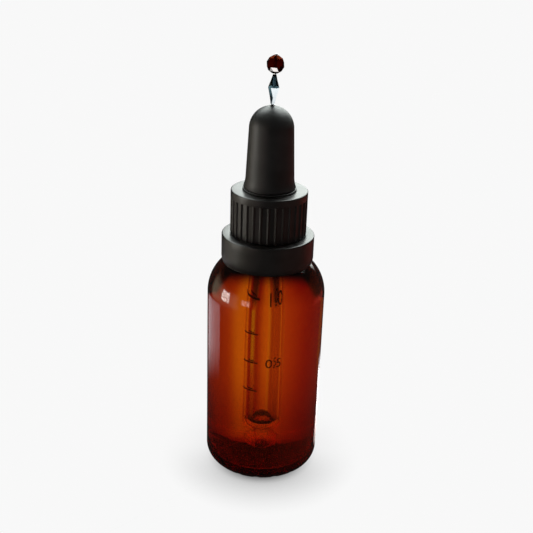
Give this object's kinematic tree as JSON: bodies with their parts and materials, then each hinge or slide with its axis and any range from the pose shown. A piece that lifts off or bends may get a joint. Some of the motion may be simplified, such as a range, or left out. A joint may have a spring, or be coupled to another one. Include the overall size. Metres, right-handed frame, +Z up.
{
  "type": "dropper bottle",
  "caption": "Amber glass dropper bottle with a ribbed screw cap, rubber bulb, graduated ball-tip pipette, tamper ring and a small beaded finial.",
  "frame": {"origin": "on the bottle's axis, at the plane it stands on", "axes": "+Z up along the bottle's axis, from the base to the bulb; the graduations are printed on the -Y side and the finial leans a little towards +X"},
  "size_m": [0.033, 0.033, 0.1196],
  "materials": {
    "amber_glass": "gloss",
    "liquid": "gloss",
    "black_plastic": "satin",
    "white_plastic": "satin",
    "black_rubber": "matte",
    "clear_glass": "gloss",
    "black_ink": "matte",
    "steel": "polished",
    "crystal": "gloss",
    "amber_crystal": "gloss"
  },
  "bodies": {
    "bottle_body": {"bottle": "amber_glass", "contents": "liquid"},
    "ring_body": {"tamper_ring": "black_plastic"},
    "seal_body": {"sealing_washer": "white_plastic"},
    "dropper_body": {"rubber_bulb": "black_rubber", "pipette": "clear_glass", "graduations": "black_ink"},
    "cap_body": {"screw_cap": "black_plastic"},
    "finial_body": {"finial_pin": "steel", "finial_foot": "steel"},
    "crystal_body": {"crystal_bead": "crystal"},
    "amber_body": {"amber_bead": "amber_crystal"}
  },
  "joints": [
    {"name": "ring_spin", "type": "hinge", "parent": "bottle_body", "child": "ring_body", "pos_m": [0, 0, 0.0675], "axis": [0, 0, 1], "continuous": true},
    {"name": "dropper_withdraw", "type": "slide", "parent": "bottle_body", "child": "seal_body", "axis": [0, 0, 1], "range_m": [0, 0.084]},
    {"name": "thread_rise", "type": "slide", "parent": "seal_body", "child": "dropper_body", "axis": [0, 0, 1], "range_m": [0, 0.0046]},
    {"name": "cap_turn", "type": "hinge", "parent": "dropper_body", "child": "cap_body", "pos_m": [0, 0, 0.0775], "axis": [0, 0, 1], "range_deg": [0, 540]},
    {"name": "bulb_squeeze", "type": "slide", "parent": "dropper_body", "child": "finial_body", "axis": [0, 0, -1], "range_m": [0, 0.005], "stiffness_N_per_m": 120, "deforming": ["rubber_bulb"]},
    {"name": "crystal_spin", "type": "hinge", "parent": "finial_body", "child": "crystal_body", "pos_m": [0.00019, 0, 0.111], "axis": [0.0419, 0, 0.9991], "continuous": true},
    {"name": "amber_spin", "type": "hinge", "parent": "finial_body", "child": "amber_body", "pos_m": [0.00044, 0, 0.11689], "axis": [0.0419, 0, 0.9991], "continuous": true}
  ],
  "couplings": [
    {"joint": "thread_rise", "follows": "cap_turn", "m_per_rad": 0.00047746}
  ]
}
